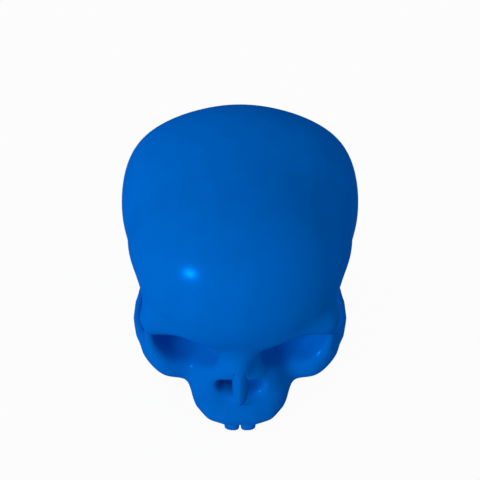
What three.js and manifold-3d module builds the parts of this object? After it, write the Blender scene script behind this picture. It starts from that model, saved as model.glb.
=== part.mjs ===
// A life-size halloween skull without a lower jaw, moulded in glossy blue plastic.
//
// The head is a hollow moulding in two shells. The front shell holds the forehead, eye sockets, cheekbones
// and upper jaw, the rear shell holds the back of the head, and its lip slides into a rebate of the front
// shell. The parting line runs behind the crown, so the face shows no seam. A screwed foot plate closes the
// skull base and ties both shells. The upper teeth have pegs in sockets of the jaw, and the nasal septum is a
// bar that seats under the bridge of the nose and in the sill of its opening.
//
// Millimetres, +Z up, the face looks along -Y. The skull stands on its foot plate and its teeth at z = 0.

import * as THREE from "three";
import { mergeVertices } from "three/addons/utils/BufferGeometryUtils.js";
import Module from "manifold-3d";

const wasm = await Module();
wasm.setup();

// Driving sizes of the head: the places of its forms are shares of these three
const HEAD_WIDTH = 146;
const HEAD_LENGTH = 186;
const HEAD_HEIGHT = 143;

// Walls, fits and the overrun of every cut
const WALL = 3.2;
const FIT_GAP = 0.4;
const OVERRUN = 2;

// Foot plate, the teeth below the jaw, and the arch that they stand on, measured along its middle
const PLATE_THICKNESS = 3;
const CROWN_HEIGHT = 8.5;
const DENTAL_ARCH_WIDTH = 46;
const DENTAL_ARCH_DEPTH = 44;

// Lattice on which the blended surfaces are traced: fine over the face, coarse over the dome and the hollow
const FACE_CELL = 4.8;
const DOME_CELL = 10;
const HOLLOW_CELL = 11.4;

// A place in shares: sideways from the middle in half widths, back from the middle of the head, and up
const inHead = ([aside, back, up]) => [(aside * HEAD_WIDTH) / 2, back * HEAD_LENGTH, up * HEAD_HEIGHT];

// Distances to the bodies that the skull is blended from, less than zero inside

function ovoid({ centreShares, radiusShares, turn = 0 }) {
  const [cx, cy, cz] = inHead(centreShares);
  const [rx, ry, rz] = inHead(radiusShares);
  const [cos, sin] = [Math.cos(turn), Math.sin(turn)];
  return (x, y, z) => {
    const px = ((x - cx) * cos + (y - cy) * sin) / rx;
    const py = ((y - cy) * cos - (x - cx) * sin) / ry;
    const pz = (z - cz) / rz;
    const reach = Math.hypot(px, py, pz);
    const slope = Math.hypot(px / rx, py / ry, pz / rz);
    return slope > 0 ? (reach * (reach - 1)) / slope : -Math.min(rx, ry, rz);
  };
}

function limbBetween(start, end, startRadius, endRadius = startRadius) {
  const way = end.map((value, i) => value - start[i]);
  const square = way[0] ** 2 + way[1] ** 2 + way[2] ** 2;
  return (x, y, z) => {
    const [dx, dy, dz] = [x - start[0], y - start[1], z - start[2]];
    const t = Math.min(1, Math.max(0, (dx * way[0] + dy * way[1] + dz * way[2]) / square));
    const off = Math.hypot(dx - t * way[0], dy - t * way[1], dz - t * way[2]);
    return off - (startRadius + (endRadius - startRadius) * t);
  };
}

const limb = ({ startShares, endShares, radii }) =>
  limbBetween(inHead(startShares), inHead(endShares), ...radii);

// A limb along a row of points, whose radius runs evenly from one end to the other
function chain(points, startRadius, endRadius) {
  const last = points.length - 1;
  const radiusAt = (i) => startRadius + ((endRadius - startRadius) * i) / last;
  const limbs = points.slice(1).map((end, i) => limbBetween(points[i], end, radiusAt(i), radiusAt(i + 1)));
  return (x, y, z) => Math.min(...limbs.map((part) => part(x, y, z)));
}

// Joins two distances with a fillet, or takes the second out of the first with a rounded edge
function blend(a, b, radius) {
  const overlap = Math.max(radius - Math.abs(a - b), 0) / radius;
  return Math.min(a, b) - (overlap * overlap * radius) / 4;
}

const carve = (a, b, radius) => -blend(-a, b, radius);

// Braincase: the dome, a boss of the parietal bone on each side, forehead, occiput, ear level and skull base
const BRAIN_BLEND = 20;
const BASE_BLEND = 18;
const dome = ovoid({ centreShares: [0, 0.017, 0.601], radiusShares: [0.9, 0.438, 0.383] });
const parietal = [-1, 1].map((side) =>
  ovoid({ centreShares: [side * 0.3, 0.13, 0.585], radiusShares: [0.72, 0.28, 0.335] }),
);
const forehead = ovoid({ centreShares: [0, -0.21, 0.67], radiusShares: [0.75, 0.243, 0.29] });
const occiput = ovoid({ centreShares: [0, 0.235, 0.42], radiusShares: [0.66, 0.235, 0.28] });
const earLevel = ovoid({ centreShares: [0, 0.05, 0.385], radiusShares: [0.767, 0.3, 0.285] });
const skullBase = ovoid({ centreShares: [0, 0.15, 0.155], radiusShares: [0.63, 0.25, 0.2] });

function braincase(x, y, z) {
  let d = blend(parietal[0](x, y, z), parietal[1](x, y, z), BRAIN_BLEND);
  d = blend(d, dome(x, y, z), BRAIN_BLEND);
  d = blend(d, forehead(x, y, z), BRAIN_BLEND);
  d = blend(d, occiput(x, y, z), BRAIN_BLEND);
  d = blend(d, earLevel(x, y, z), BASE_BLEND);
  return blend(d, skullBase(x, y, z), BASE_BLEND);
}

// Side of the face: outer rim of the eye socket, temple and cheekbone
const RIM_RADIUS = 7.5;
const ARCH_RADIUS = 4.4;
const BONE_BLEND = 10;
const rim = limb({
  startShares: [0.66, -0.33, 0.52],
  endShares: [0.68, -0.335, 0.33],
  radii: [RIM_RADIUS],
});
const temple = ovoid({ centreShares: [0.48, -0.255, 0.54], radiusShares: [0.2, 0.115, 0.2] });
const cheek = ovoid({ centreShares: [0.54, -0.34, 0.26], radiusShares: [0.19, 0.065, 0.11] });

// The zygomatic arch is a leaning band: a thin upper edge, and a thicker foot below it and further in
const ARCH_EDGE_RADIUS = 2.6;
const ARCH_DROP = 7;
const ARCH_LEAN = 4;
const ARCH_STEPS = 7;
const archEdgeShares = [
  [0.62, -0.36, 0.265],
  [0.79, -0.3, 0.27],
  [0.878, -0.2, 0.28],
  [0.855, -0.1, 0.29],
  [0.76, 0.02, 0.3],
];
const archEdgeCurve = new THREE.CatmullRomCurve3(
  archEdgeShares.map((shares) => new THREE.Vector3(...inHead(shares))),
);
const archEdgePoints = archEdgeCurve.getSpacedPoints(ARCH_STEPS).map((point) => point.toArray());
const archFootPoints = archEdgePoints.map(([x, y, z]) => [x - ARCH_LEAN, y, z - ARCH_DROP]);
const archEdge = chain(archEdgePoints, ARCH_RADIUS, ARCH_EDGE_RADIUS);
const archFoot = chain(archFootPoints, ARCH_RADIUS, ARCH_RADIUS);
const cheekArch = (x, y, z) => blend(archEdge(x, y, z), archFoot(x, y, z), BONE_BLEND);

function cheekSide(x, y, z) {
  let d = blend(rim(x, y, z), temple(x, y, z), BONE_BLEND);
  d = blend(d, cheek(x, y, z), BONE_BLEND);
  return blend(d, cheekArch(x, y, z), BONE_BLEND);
}

// Middle line of the dental arch on the left side, from the front teeth back to the last molar
const ARCH_FRONT_SHARE = -0.485;
const archFrontY = ARCH_FRONT_SHARE * HEAD_LENGTH;
const archShares = [[0, 0], [0.94, 0], [1, 0.22], [1, 1]];
const archPoint = ([aside, back]) =>
  new THREE.Vector2((aside * DENTAL_ARCH_WIDTH) / 2, archFrontY + back * DENTAL_ARCH_DEPTH);
const dentalArch = new THREE.CubicBezierCurve(...archShares.map(archPoint));

// Upper jaw: its body and the tooth-bearing ridge along the dental arch
const RIDGE_RADIUS = 8.2;
const RIDGE_STEPS = 8;
const JAW_BLEND = 15;
const ridgeHeight = CROWN_HEIGHT + RIDGE_RADIUS - OVERRUN;
const jawBody = ovoid({ centreShares: [0, -0.325, 0.225], radiusShares: [0.42, 0.16, 0.18] });
const ridgePoints = dentalArch.getSpacedPoints(RIDGE_STEPS).map(({ x, y }) => [x, y, ridgeHeight]);
const ridge = chain(ridgePoints, RIDGE_RADIUS, RIDGE_RADIUS);

// Nose: the bridge down the middle, its wide tip, and a flank that runs down beside the opening
const NOSE_ROOT_RADIUS = 5.5;
const NOSE_TIP_RADIUS = 6;
const FLANK_TOP_RADIUS = 6.5;
const FLANK_FOOT_RADIUS = 9;
const WING_TOP_RADIUS = 8.5;
const WING_FOOT_RADIUS = 8;
const NOSE_EDGE = 4;
const noseBridge = limb({
  startShares: [0, -0.355, 0.57],
  endShares: [0, -0.447, 0.4],
  radii: [NOSE_ROOT_RADIUS, NOSE_TIP_RADIUS],
});
const noseTip = limb({
  startShares: [0, -0.447, 0.4],
  endShares: [0.07, -0.42, 0.34],
  radii: [NOSE_TIP_RADIUS],
});
const noseFlank = limb({
  startShares: [0.08, -0.33, 0.54],
  endShares: [0.115, -0.395, 0.36],
  radii: [FLANK_TOP_RADIUS, FLANK_FOOT_RADIUS],
});
const noseWing = limb({
  startShares: [0.15, -0.375, 0.35],
  endShares: [0.25, -0.425, 0.2],
  radii: [WING_TOP_RADIUS, WING_FOOT_RADIUS],
});

function upperJaw(x, y, z) {
  const flank = Math.min(noseFlank(x, y, z), noseWing(x, y, z));
  const nose = blend(Math.min(noseBridge(x, y, z), noseTip(x, y, z)), flank, BONE_BLEND);
  return blend(blend(jawBody(x, y, z), ridge(x, y, z), JAW_BLEND), nose, BONE_BLEND);
}

// Underside: the bone behind the jaw and the mastoid knobs behind the ears
const pterygoid = ovoid({ centreShares: [0, -0.19, 0.28], radiusShares: [0.47, 0.215, 0.125] });
const mastoid = ovoid({ centreShares: [0.7, 0.045, 0.16], radiusShares: [0.14, 0.07, 0.135] });

// What is carved out: eye sockets, nose opening and the vault of the palate
const SOCKET_TURN = 0.15;
const SOCKET_EDGE = 5;
const FACE_BLEND = 12;
const eyeSocket = ovoid({
  centreShares: [0.45, -0.385, 0.43],
  radiusShares: [0.235, 0.13, 0.125],
  turn: SOCKET_TURN,
});
const noseOpening = ovoid({ centreShares: [0, -0.48, 0.275], radiusShares: [0.185, 0.13, 0.055] });
const palate = ovoid({ centreShares: [0, -0.34, 0.03], radiusShares: [0.25, 0.13, 0.1] });

// What closes round the openings again: the brow over each socket and the sill under the nose
const BROW_RADIUS = 6.5;
const SILL_RADIUS = 4;
const brow = limb({
  startShares: [0.2, -0.383, 0.56],
  endShares: [0.63, -0.345, 0.54],
  radii: [BROW_RADIUS],
});
const noseSill = limb({
  startShares: [0.13, -0.445, 0.2],
  endShares: [0, -0.478, 0.21],
  radii: [SILL_RADIUS],
});

function skull(signedX, y, z) {
  const x = Math.abs(signedX);
  const face = blend(upperJaw(x, y, z), cheekSide(x, y, z), FACE_BLEND);
  let d = blend(braincase(signedX, y, z), face, FACE_BLEND);
  d = blend(d, pterygoid(x, y, z), FACE_BLEND);
  d = blend(d, mastoid(x, y, z), BONE_BLEND);
  d = blend(carve(d, eyeSocket(x, y, z), SOCKET_EDGE), brow(x, y, z), BONE_BLEND);
  d = blend(carve(d, noseOpening(x, y, z), NOSE_EDGE), noseSill(x, y, z), NOSE_EDGE);
  return carve(d, palate(x, y, z), NOSE_EDGE);
}

// Lines of a lattice along one axis, whose cell follows the place
function latticeLines(from, to, cellAt) {
  const lines = [from];
  while (lines.at(-1) < to) lines.push(lines.at(-1) + cellAt(lines.at(-1)));
  return lines;
}

// The corners of a lattice cell are numbered by three bits, one for each axis. A face is a ring of four.
const AXES = [0, 1, 2];
const FACE_RINGS = AXES.flatMap((axis) => {
  const [u, v] = [1 << (axis + 1) % 3, 1 << (axis + 2) % 3];
  return [0, 1 << axis].map((low) => [low, low | u, low | u | v, low | v]);
});
const CORNER_COUNT = 8;
const EDGE_NAMES = CORNER_COUNT ** 2;
const corners = Array.from({ length: CORNER_COUNT }, (_, corner) => corner);
const edgeName = (a, b) => Math.min(a, b) * CORNER_COUNT + Math.max(a, b);

// Groups the crossed edges of a cell into the separate sheets of surface that pass through it
function sheetsOf(isInside) {
  const sheetOf = new Map();
  for (const ring of FACE_RINGS) {
    for (let n = 0; n < 4; n++) {
      if (isInside(ring[n]) || !isInside(ring[(n + 1) % 4])) continue;
      let end = (n + 1) % 4;
      while (isInside(ring[(end + 1) % 4])) end = (end + 1) % 4;
      const entry = edgeName(ring[n], ring[(n + 1) % 4]);
      const exit = edgeName(ring[end], ring[(end + 1) % 4]);
      const joined = [...(sheetOf.get(entry) ?? [entry]), ...(sheetOf.get(exit) ?? [exit])];
      const sheet = new Set(joined);
      for (const edge of sheet) sheetOf.set(edge, sheet);
    }
  }
  return new Set(sheetOf.values());
}

// Slides a point along the slope of a distance until it lies on the surface
const SLIDES = 4;
const PROBE = FACE_CELL / 40;

function slideOnto(distance, point) {
  const p = [...point];
  for (let n = 0; n < SLIDES; n++) {
    const slope = AXES.map((axis) => {
      const [ahead, behind] = [[...p], [...p]];
      ahead[axis] += PROBE;
      behind[axis] -= PROBE;
      return (distance(...ahead) - distance(...behind)) / (2 * PROBE);
    });
    const step = distance(...p) / (slope[0] ** 2 + slope[1] ** 2 + slope[2] ** 2);
    for (const axis of AXES) p[axis] -= step * slope[axis];
  }
  return p;
}

// Traces the zero level of a distance: one vertex for each sheet in a cell, one quad for each crossed edge
function traceSurface(distance, lattice) {
  const counts = lattice.map((lines) => lines.length);
  const strides = [1, counts[0], counts[0] * counts[1]];
  const placeOf = (cell) => AXES.map((axis) => Math.floor(cell / strides[axis]) % counts[axis]);
  const total = strides[2] * counts[2];
  const pointAt = (node) => placeOf(node).map((n, axis) => lattice[axis][n]);
  const values = Float64Array.from({ length: total }, (_, node) => distance(...pointAt(node)));
  const bitOf = (corner, axis) => (corner >> axis) & 1;
  const cornerOffset = (corner) => AXES.reduce((sum, axis) => sum + bitOf(corner, axis) * strides[axis], 0);

  const positions = [];
  const vertexAt = new Map();
  for (let cell = 0; cell < total; cell++) {
    if (placeOf(cell).some((n, axis) => n > counts[axis] - 2)) continue;
    const isInside = (corner) => values[cell + cornerOffset(corner)] < 0;
    const insideCount = corners.filter(isInside).length;
    if (insideCount === 0 || insideCount === CORNER_COUNT) continue;
    for (const sheet of sheetsOf(isInside)) {
      const middle = [0, 0, 0];
      for (const edge of sheet) {
        const ends = [Math.floor(edge / CORNER_COUNT), edge % CORNER_COUNT];
        const [a, b] = ends.map((corner) => cell + cornerOffset(corner));
        const t = values[a] / (values[a] - values[b]);
        const [from, to] = [pointAt(a), pointAt(b)];
        for (const axis of AXES) middle[axis] += (from[axis] + (to[axis] - from[axis]) * t) / sheet.size;
        vertexAt.set(cell * EDGE_NAMES + edge, positions.length / 3);
      }
      positions.push(...slideOnto(distance, middle));
    }
  }

  const indices = [];
  const gapBetween = (a, b) =>
    Math.hypot(...AXES.map((axis) => positions[a * 3 + axis] - positions[b * 3 + axis]));
  for (let node = 0; node < total; node++) {
    const place = placeOf(node);
    for (const axis of AXES) {
      const [u, v] = [(axis + 1) % 3, (axis + 2) % 3];
      if (place[axis] > counts[axis] - 2 || place[u] === 0 || place[v] === 0) continue;
      const startsInside = values[node] < 0;
      if (startsInside === values[node + strides[axis]] < 0) continue;
      const ring = [[1, 1], [0, 1], [0, 0], [1, 0]].map(([du, dv]) => {
        const low = (du << u) | (dv << v);
        const cell = node - du * strides[u] - dv * strides[v];
        return vertexAt.get(cell * EDGE_NAMES + edgeName(low, low | (1 << axis)));
      });
      if (!startsInside) ring.reverse();
      const [a, b, c, d] = ring;
      const shortSplit = gapBetween(a, c) < gapBetween(b, d);
      indices.push(...(shortSplit ? [a, b, c, a, c, d] : [a, b, d, b, c, d]));
    }
  }
  const geometry = new THREE.BufferGeometry();
  geometry.setAttribute("position", new THREE.Float32BufferAttribute(positions, 3));
  geometry.setIndex(indices);
  return geometry;
}

// Solids are joined and cut as manifolds, and go back to geometries for the meshes

function solidOf(geometry) {
  const bare = geometry.clone();
  bare.deleteAttribute("normal");
  bare.deleteAttribute("uv");
  const merged = mergeVertices(bare);
  const vertProperties = new Float32Array(merged.attributes.position.array);
  const triVerts = new Uint32Array(merged.index.array);
  return new wasm.Manifold(new wasm.Mesh({ numProp: 3, vertProperties, triVerts }));
}

function geometryOf(solid) {
  const { vertProperties, triVerts } = solid.getMesh();
  const geometry = new THREE.BufferGeometry();
  geometry.setAttribute("position", new THREE.BufferAttribute(vertProperties, 3));
  geometry.setIndex(new THREE.BufferAttribute(triVerts, 1));
  return geometry;
}

// An upright prism over an outline, from one height to another
function prism(shape, low, high, segments) {
  const geometry = new THREE.ExtrudeGeometry(shape, {
    depth: high - low,
    bevelEnabled: false,
    curveSegments: segments,
  });
  return geometry.translate(0, 0, low);
}

function ellipseShape(x, y, radiusX, radiusY) {
  return new THREE.Shape().absellipse(x, y, radiusX, radiusY, 0, 2 * Math.PI, false, 0);
}

// A turned body on an upright axis, from pairs of radius and height
function turned(profile, x, y, segments) {
  const points = profile.map(([radius, height]) => new THREE.Vector2(radius, height));
  return new THREE.LatheGeometry(points, segments).rotateX(Math.PI / 2).translate(x, y, 0);
}

// Lattices that hold the whole head with a margin of two cells
const margin = 2 * HOLLOW_CELL;
const FRONT_END_SHARE = -0.55;
const BACK_END_SHARE = 0.5;
const FACE_BACK_SHARE = -0.2;
const FACE_TOP_SHARE = 0.62;
const SIDE_CELL_SHARE = 0.46;

function headLattice(faceCell, domeCell) {
  const [front, back] = [FRONT_END_SHARE * HEAD_LENGTH - margin, BACK_END_SHARE * HEAD_LENGTH + margin];
  const sideCell = SIDE_CELL_SHARE * (faceCell + domeCell);
  const sideways = latticeLines(0, HEAD_WIDTH / 2 + margin, () => sideCell);
  const cellAtDepth = (y) => (y < FACE_BACK_SHARE * HEAD_LENGTH ? faceCell : domeCell);
  const cellAtHeight = (z) => (z < FACE_TOP_SHARE * HEAD_HEIGHT ? faceCell : domeCell);
  return [
    [...sideways.slice(1).map((x) => -x).reverse(), ...sideways],
    latticeLines(front, back, cellAtDepth),
    latticeLines(-margin, HEAD_HEIGHT + margin, cellAtHeight),
  ];
}

const head = solidOf(traceSurface(skull, headLattice(FACE_CELL, DOME_CELL)));

// Cutting box over the whole width of the head, between two places along Y and two heights
function slab(backFrom, backTo, low, high) {
  const width = HEAD_WIDTH + 4 * margin;
  const box = new THREE.BoxGeometry(width, backTo - backFrom, high - low);
  return box.translate(0, (backFrom + backTo) / 2, (low + high) / 2);
}

// The parting plane leans back from the middle of the foot plate, so that it meets the dome behind the crown
const PLATE_CENTRE_SHARE = 0.15;
const PARTING_TILT = THREE.MathUtils.degToRad(24);
const plateCentreY = PLATE_CENTRE_SHARE * HEAD_LENGTH;
const bottomUp = -HEAD_HEIGHT;
const topUp = 2 * HEAD_HEIGHT;

// A slab along the parting plane, from so far in front of it to so far behind it
function alongParting(infront, behind) {
  return slab(-infront, behind, bottomUp, topUp).rotateX(-PARTING_TILT).translate(0, plateCentreY, 0);
}

// The hollow keeps the wall to every outer surface, and goes down into the upper jaw behind the nose
const BASE_UNDERSIDE = PLATE_THICKNESS + FIT_GAP;
const JAW_HOLLOW_BLEND = 14;
const jawHollow = ovoid({ centreShares: [0, -0.3, 0.25], radiusShares: [0.33, 0.12, 0.1] });

function insideWall(wall) {
  return (x, y, z) => {
    const room = blend(braincase(x, y, z) + wall, jawHollow(x, y, z), JAW_HOLLOW_BLEND);
    return Math.max(room, skull(x, y, z) + wall, BASE_UNDERSIDE + wall - z);
  };
}

const hollow = solidOf(traceSurface(insideWall(WALL), headLattice(HOLLOW_CELL, HOLLOW_CELL)));

// Neck of the hollow through the skull base. The foot plate closes it, and laps it all round by the flange
// that its screws go through.
const PLATE_WIDTH = 62;
const PLATE_LENGTH = 64;
const SIDE_FLANGE = 14;
const END_FLANGE = 13;
const NECK_SEGMENTS = 12;
const neckWidth = PLATE_WIDTH - 2 * SIDE_FLANGE;
const neckLength = PLATE_LENGTH - 2 * END_FLANGE;
const neckShape = ellipseShape(0, plateCentreY, neckWidth / 2, neckLength / 2);
const neck = solidOf(prism(neckShape, -OVERRUN, BASE_UNDERSIDE + WALL + OVERRUN, NECK_SEGMENTS));

// The flat underside of the skull base, and the flat foot of the jaw that the teeth hang from
const JAW_BACK_SHARE = -0.2;
const jawBackY = JAW_BACK_SHARE * HEAD_LENGTH;
const underside = solidOf(slab(-HEAD_LENGTH, HEAD_LENGTH, bottomUp, BASE_UNDERSIDE));
const jawFoot = solidOf(slab(-HEAD_LENGTH, jawBackY, bottomUp, CROWN_HEIGHT + FIT_GAP));

// Lip of the rear shell and rebate of the front shell: each takes half of the wall, with the gap between them
const LIP_LENGTH = 6;
const lipReach = LIP_LENGTH + FIT_GAP;
const nearParting = (distance) => (x, y, z) => {
  const off = (y - plateCentreY) * Math.cos(PARTING_TILT) - z * Math.sin(PARTING_TILT);
  return Math.max(distance(x, y, z), Math.abs(off) - lipReach - margin);
};
function halfWall(side) {
  const distance = insideWall((WALL + side * FIT_GAP) / 2);
  return solidOf(traceSurface(nearParting(distance), headLattice(HOLLOW_CELL, HOLLOW_CELL)));
}
const rebate = halfWall(-1).intersect(solidOf(alongParting(lipReach, OVERRUN)));
const lipRing = halfWall(1).intersect(solidOf(alongParting(LIP_LENGTH, WALL)));

// Bosses for the screws, two in each shell, around the neck
const BOSS_RADIUS = 5;
const BOSS_HEIGHT = 12;
const BOSS_SEGMENTS = 12;
const SCREW_RADIUS = 1.5;
const SCREW_LENGTH = 12;
const HEAD_RADIUS = 3;
const HEAD_DEPTH = 1.8;
const HEAD_SINK = 0.5;
const bossAside = neckWidth / 2 + BOSS_RADIUS / 2;
const bossBack = neckLength / 2 - FIT_GAP;
const screwPlaces = {
  screw_front_right: [-bossAside, plateCentreY - bossBack],
  screw_front_left: [bossAside, plateCentreY - bossBack],
  screw_rear_right: [-bossAside, plateCentreY + bossBack],
  screw_rear_left: [bossAside, plateCentreY + bossBack],
};
const bossFoot = BASE_UNDERSIDE + FIT_GAP;
const bossTop = bossFoot + BOSS_HEIGHT;
const bossProfile = [[0, bossFoot], [BOSS_RADIUS, bossFoot], [BOSS_RADIUS, bossTop], [0, bossTop]];
const bosses = Object.values(screwPlaces).map(([x, y]) =>
  solidOf(turned(bossProfile, x, y, BOSS_SEGMENTS)),
);

// A countersunk screw, drawn to its own size or grown by the fit gap for the hole that it needs
function screwBody([x, y], growth) {
  const shank = SCREW_RADIUS + growth;
  const rim = HEAD_RADIUS + growth;
  const low = growth ? -OVERRUN : HEAD_SINK;
  const neckHeight = HEAD_SINK + HEAD_DEPTH;
  const tip = HEAD_SINK + SCREW_LENGTH + growth;
  const profile = [[0, low], [rim, low], [rim, HEAD_SINK], [shank, neckHeight], [shank, tip], [0, tip]];
  const points = growth ? profile : profile.filter((point, i) => i !== 2);
  return turned(points, x, y, BOSS_SEGMENTS);
}
const screwHoles = Object.values(screwPlaces).map((place) => solidOf(screwBody(place, FIT_GAP)));

// A body skinned over level rings, each an oval of its own width, thickness, height and place along Y
function skinned(rings, sides, squareness) {
  const positions = [];
  const indices = [];
  for (const { width, thickness, height, back } of rings) {
    for (let n = 0; n < sides; n++) {
      const angle = (2 * Math.PI * (n + 0.5)) / sides;
      const [cos, sin] = [Math.cos(angle), Math.sin(angle)];
      const reach = (Math.abs(cos) ** squareness + Math.abs(sin) ** squareness) ** (-1 / squareness);
      positions.push((cos * reach * width) / 2, back + (sin * reach * thickness) / 2, height);
    }
  }
  for (let ring = 0; ring < rings.length - 1; ring++) {
    for (let n = 0; n < sides; n++) {
      const [a, b] = [ring * sides + n, ring * sides + ((n + 1) % sides)];
      indices.push(a, b, b + sides, a, b + sides, a + sides);
    }
  }
  for (let n = 1; n < sides - 1; n++) {
    const top = (rings.length - 1) * sides;
    indices.push(0, n + 1, n, top, top + n, top + n + 1);
  }
  const geometry = new THREE.BufferGeometry();
  geometry.setAttribute("position", new THREE.Float32BufferAttribute(positions, 3));
  geometry.setIndex(indices);
  return geometry;
}

// Nasal septum: a bar that seats under the bridge of the nose, widens upwards and ends in the spine below
const SEPTUM_WIDTH = 8.4;
const SEPTUM_DEPTH = 8;
const SEPTUM_SIDES = 12;
const ROUNDNESS = 2;
const septumRingShares = [
  { heightShare: 0.182, frontShare: -0.497, widthShare: 0.43, depthShare: 0.5 },
  { heightShare: 0.21, frontShare: -0.505, widthShare: 0.55, depthShare: 0.75 },
  { heightShare: 0.252, frontShare: -0.499, widthShare: 0.71, depthShare: 0.88 },
  { heightShare: 0.336, frontShare: -0.486, widthShare: 0.9, depthShare: 1 },
  { heightShare: 0.4, frontShare: -0.477, widthShare: 1, depthShare: 1 },
];

// The septum to its own size, or grown by the fit gap for the seat that it needs
function septumBody(growth) {
  const last = septumRingShares.length - 1;
  const endOf = (i) => (i === 0 ? -1 : Number(i === last));
  const rings = septumRingShares.map(({ heightShare, frontShare, widthShare, depthShare }, i) => ({
    width: widthShare * SEPTUM_WIDTH + 2 * growth,
    thickness: depthShare * SEPTUM_DEPTH + 2 * growth,
    height: heightShare * HEAD_HEIGHT + growth * endOf(i),
    back: frontShare * HEAD_LENGTH + (depthShare * SEPTUM_DEPTH) / 2,
  }));
  return skinned(rings, SEPTUM_SIDES, ROUNDNESS);
}

// Teeth of one side, from the middle back, by their shares: of the length of the dental arch, of the
// thickness of the thickest tooth, of its own thickness at the edge, of the crown by which it ends higher,
// and of the thickest tooth by which its edge leans out. The edge is thin on an incisor, broad on a molar.
const TOOTH_THICKNESS = 11.4;
const TOOTH_SIDES = 10;
const SQUARENESS = 2.6;
const PEG_RADIUS = 2;
const PEG_LENGTH = 7;
const toothShares = {
  central_incisor: [0.165, 0.65, 0.4, 0, 0.28],
  lateral_incisor: [0.124, 0.61, 0.42, 0.12, 0.22],
  canine: [0.134, 0.72, 0.45, 0.05, 0.14],
  first_premolar: [0.122, 0.84, 0.72, 0.09, 0.04],
  second_premolar: [0.118, 0.87, 0.78, 0.09, 0.02],
  first_molar: [0.175, 1, 0.84, 0.07, 0.02],
  second_molar: [0.162, 0.9, 0.84, 0.09, 0],
};
const crownRingShares = [
  { heightShare: 0, widthShare: 0.82, edgeWeightShare: 1, fullShare: 1 },
  { heightShare: 0.3, widthShare: 1, edgeWeightShare: 0.5, fullShare: 1 },
  { heightShare: 0.72, widthShare: 0.94, edgeWeightShare: 0, fullShare: 1 },
  { heightShare: 1, widthShare: 0.76, edgeWeightShare: 0, fullShare: 0.8 },
];
const archLength = dentalArch.getLength();

function toothRings([lengthShare, thickShare, edgeShare, liftShare, leanShare]) {
  const width = lengthShare * archLength - FIT_GAP;
  const thickness = thickShare * TOOTH_THICKNESS;
  const lift = liftShare * CROWN_HEIGHT;
  const rings = crownRingShares.map(({ heightShare, widthShare, edgeWeightShare, fullShare }) => ({
    width: width * widthShare,
    thickness: thickness * fullShare * (1 - edgeWeightShare * (1 - edgeShare)),
    height: lift + (CROWN_HEIGHT - lift) * heightShare,
    back: -TOOTH_THICKNESS * leanShare * (1 - heightShare),
  }));
  for (const height of [CROWN_HEIGHT, CROWN_HEIGHT + PEG_LENGTH]) {
    rings.push({ width: 2 * PEG_RADIUS, thickness: 2 * PEG_RADIUS, height, back: 0 });
  }
  return rings;
}

const seats = [];
let startShare = 0;
for (const [name, shares] of Object.entries(toothShares)) {
  const [lengthShare] = shares;
  const middleShare = startShare + lengthShare / 2;
  const place = dentalArch.getPointAt(middleShare);
  const along = dentalArch.getTangentAt(middleShare);
  seats.push({ name, shares, place, turn: Math.atan2(along.y, along.x) });
  startShare += lengthShare;
}

// Socket for a peg in the foot of the jaw, grown by the fit gap
function socketBody({ x, y }) {
  const radius = PEG_RADIUS + FIT_GAP;
  const [low, high] = [CROWN_HEIGHT - OVERRUN, CROWN_HEIGHT + PEG_LENGTH + FIT_GAP];
  return turned([[0, low], [radius, low], [radius, high], [0, high]], x, y, TOOTH_SIDES);
}

// The two shells
const sides = [["left", 1], ["right", -1]];
const bored = (solid) =>
  [neck, underside, jawFoot, ...screwHoles].reduce((rest, cut) => rest.subtract(cut), solid);
const hollowHead = head.subtract(hollow);
const bossAt = (end) => bosses.filter((_, i) => (i < 2) === (end === "front"));
const behindParting = solidOf(alongParting(-FIT_GAP, topUp));

let front = hollowHead.subtract(solidOf(alongParting(0, topUp))).subtract(rebate);
front = bossAt("front").reduce((whole, boss) => whole.add(boss), front);
front = bored(front).subtract(solidOf(septumBody(FIT_GAP)));
for (const [, sign] of sides) {
  for (const { place } of seats) {
    front = front.subtract(solidOf(socketBody({ x: sign * place.x, y: place.y })));
  }
}
let rear = hollowHead.intersect(behindParting).add(lipRing.subtract(hollow));
rear = bored(bossAt("rear").reduce((whole, boss) => whole.add(boss), rear));

// Foot plate with its four countersunk holes
const PLATE_SEGMENTS = 20;
const plateShape = ellipseShape(0, plateCentreY, PLATE_WIDTH / 2, PLATE_LENGTH / 2);
const plate = screwHoles.reduce(
  (rest, hole) => rest.subtract(hole),
  solidOf(prism(plateShape, 0, PLATE_THICKNESS, PLATE_SEGMENTS)),
);

// Finishes: one glossy blue for every moulding, and zinc plated steel for the screws
const bluePlastic = new THREE.MeshStandardMaterial({ color: 0x0062c4, roughness: 0.28, metalness: 0 });
const zincPlate = new THREE.MeshStandardMaterial({ color: 0xb9bec4, roughness: 0.35, metalness: 1 });

const halloweenSkull = new THREE.Group();

function addPiece(name, geometry, material, parent = halloweenSkull) {
  const mesh = new THREE.Mesh(geometry, material);
  mesh.name = name;
  parent.add(mesh);
  return mesh;
}

addPiece("front_shell", geometryOf(front), bluePlastic);
addPiece("rear_shell", geometryOf(rear), bluePlastic);
addPiece("foot_plate", geometryOf(plate), bluePlastic);
addPiece("nasal_septum", septumBody(0), bluePlastic);
for (const [name, place] of Object.entries(screwPlaces)) addPiece(name, screwBody(place, 0), zincPlate);
for (const [side, sign] of sides) {
  for (const { name, shares, place, turn } of seats) {
    const crown = skinned(toothRings(shares), TOOTH_SIDES, SQUARENESS);
    const tooth = addPiece(`${name}_${side}`, crown, bluePlastic);
    tooth.position.set(sign * place.x, place.y, 0);
    tooth.rotation.z = sign * turn;
  }
}

// The origin is the middle of the bounding box, on the surface that the skull stands on
const origin = new THREE.Group();
const box = new THREE.Box3().setFromObject(halloweenSkull);
const centre = box.getCenter(new THREE.Vector3());
halloweenSkull.position.set(-centre.x, -centre.y, -box.min.z);
origin.add(halloweenSkull);

export default origin;
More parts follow.
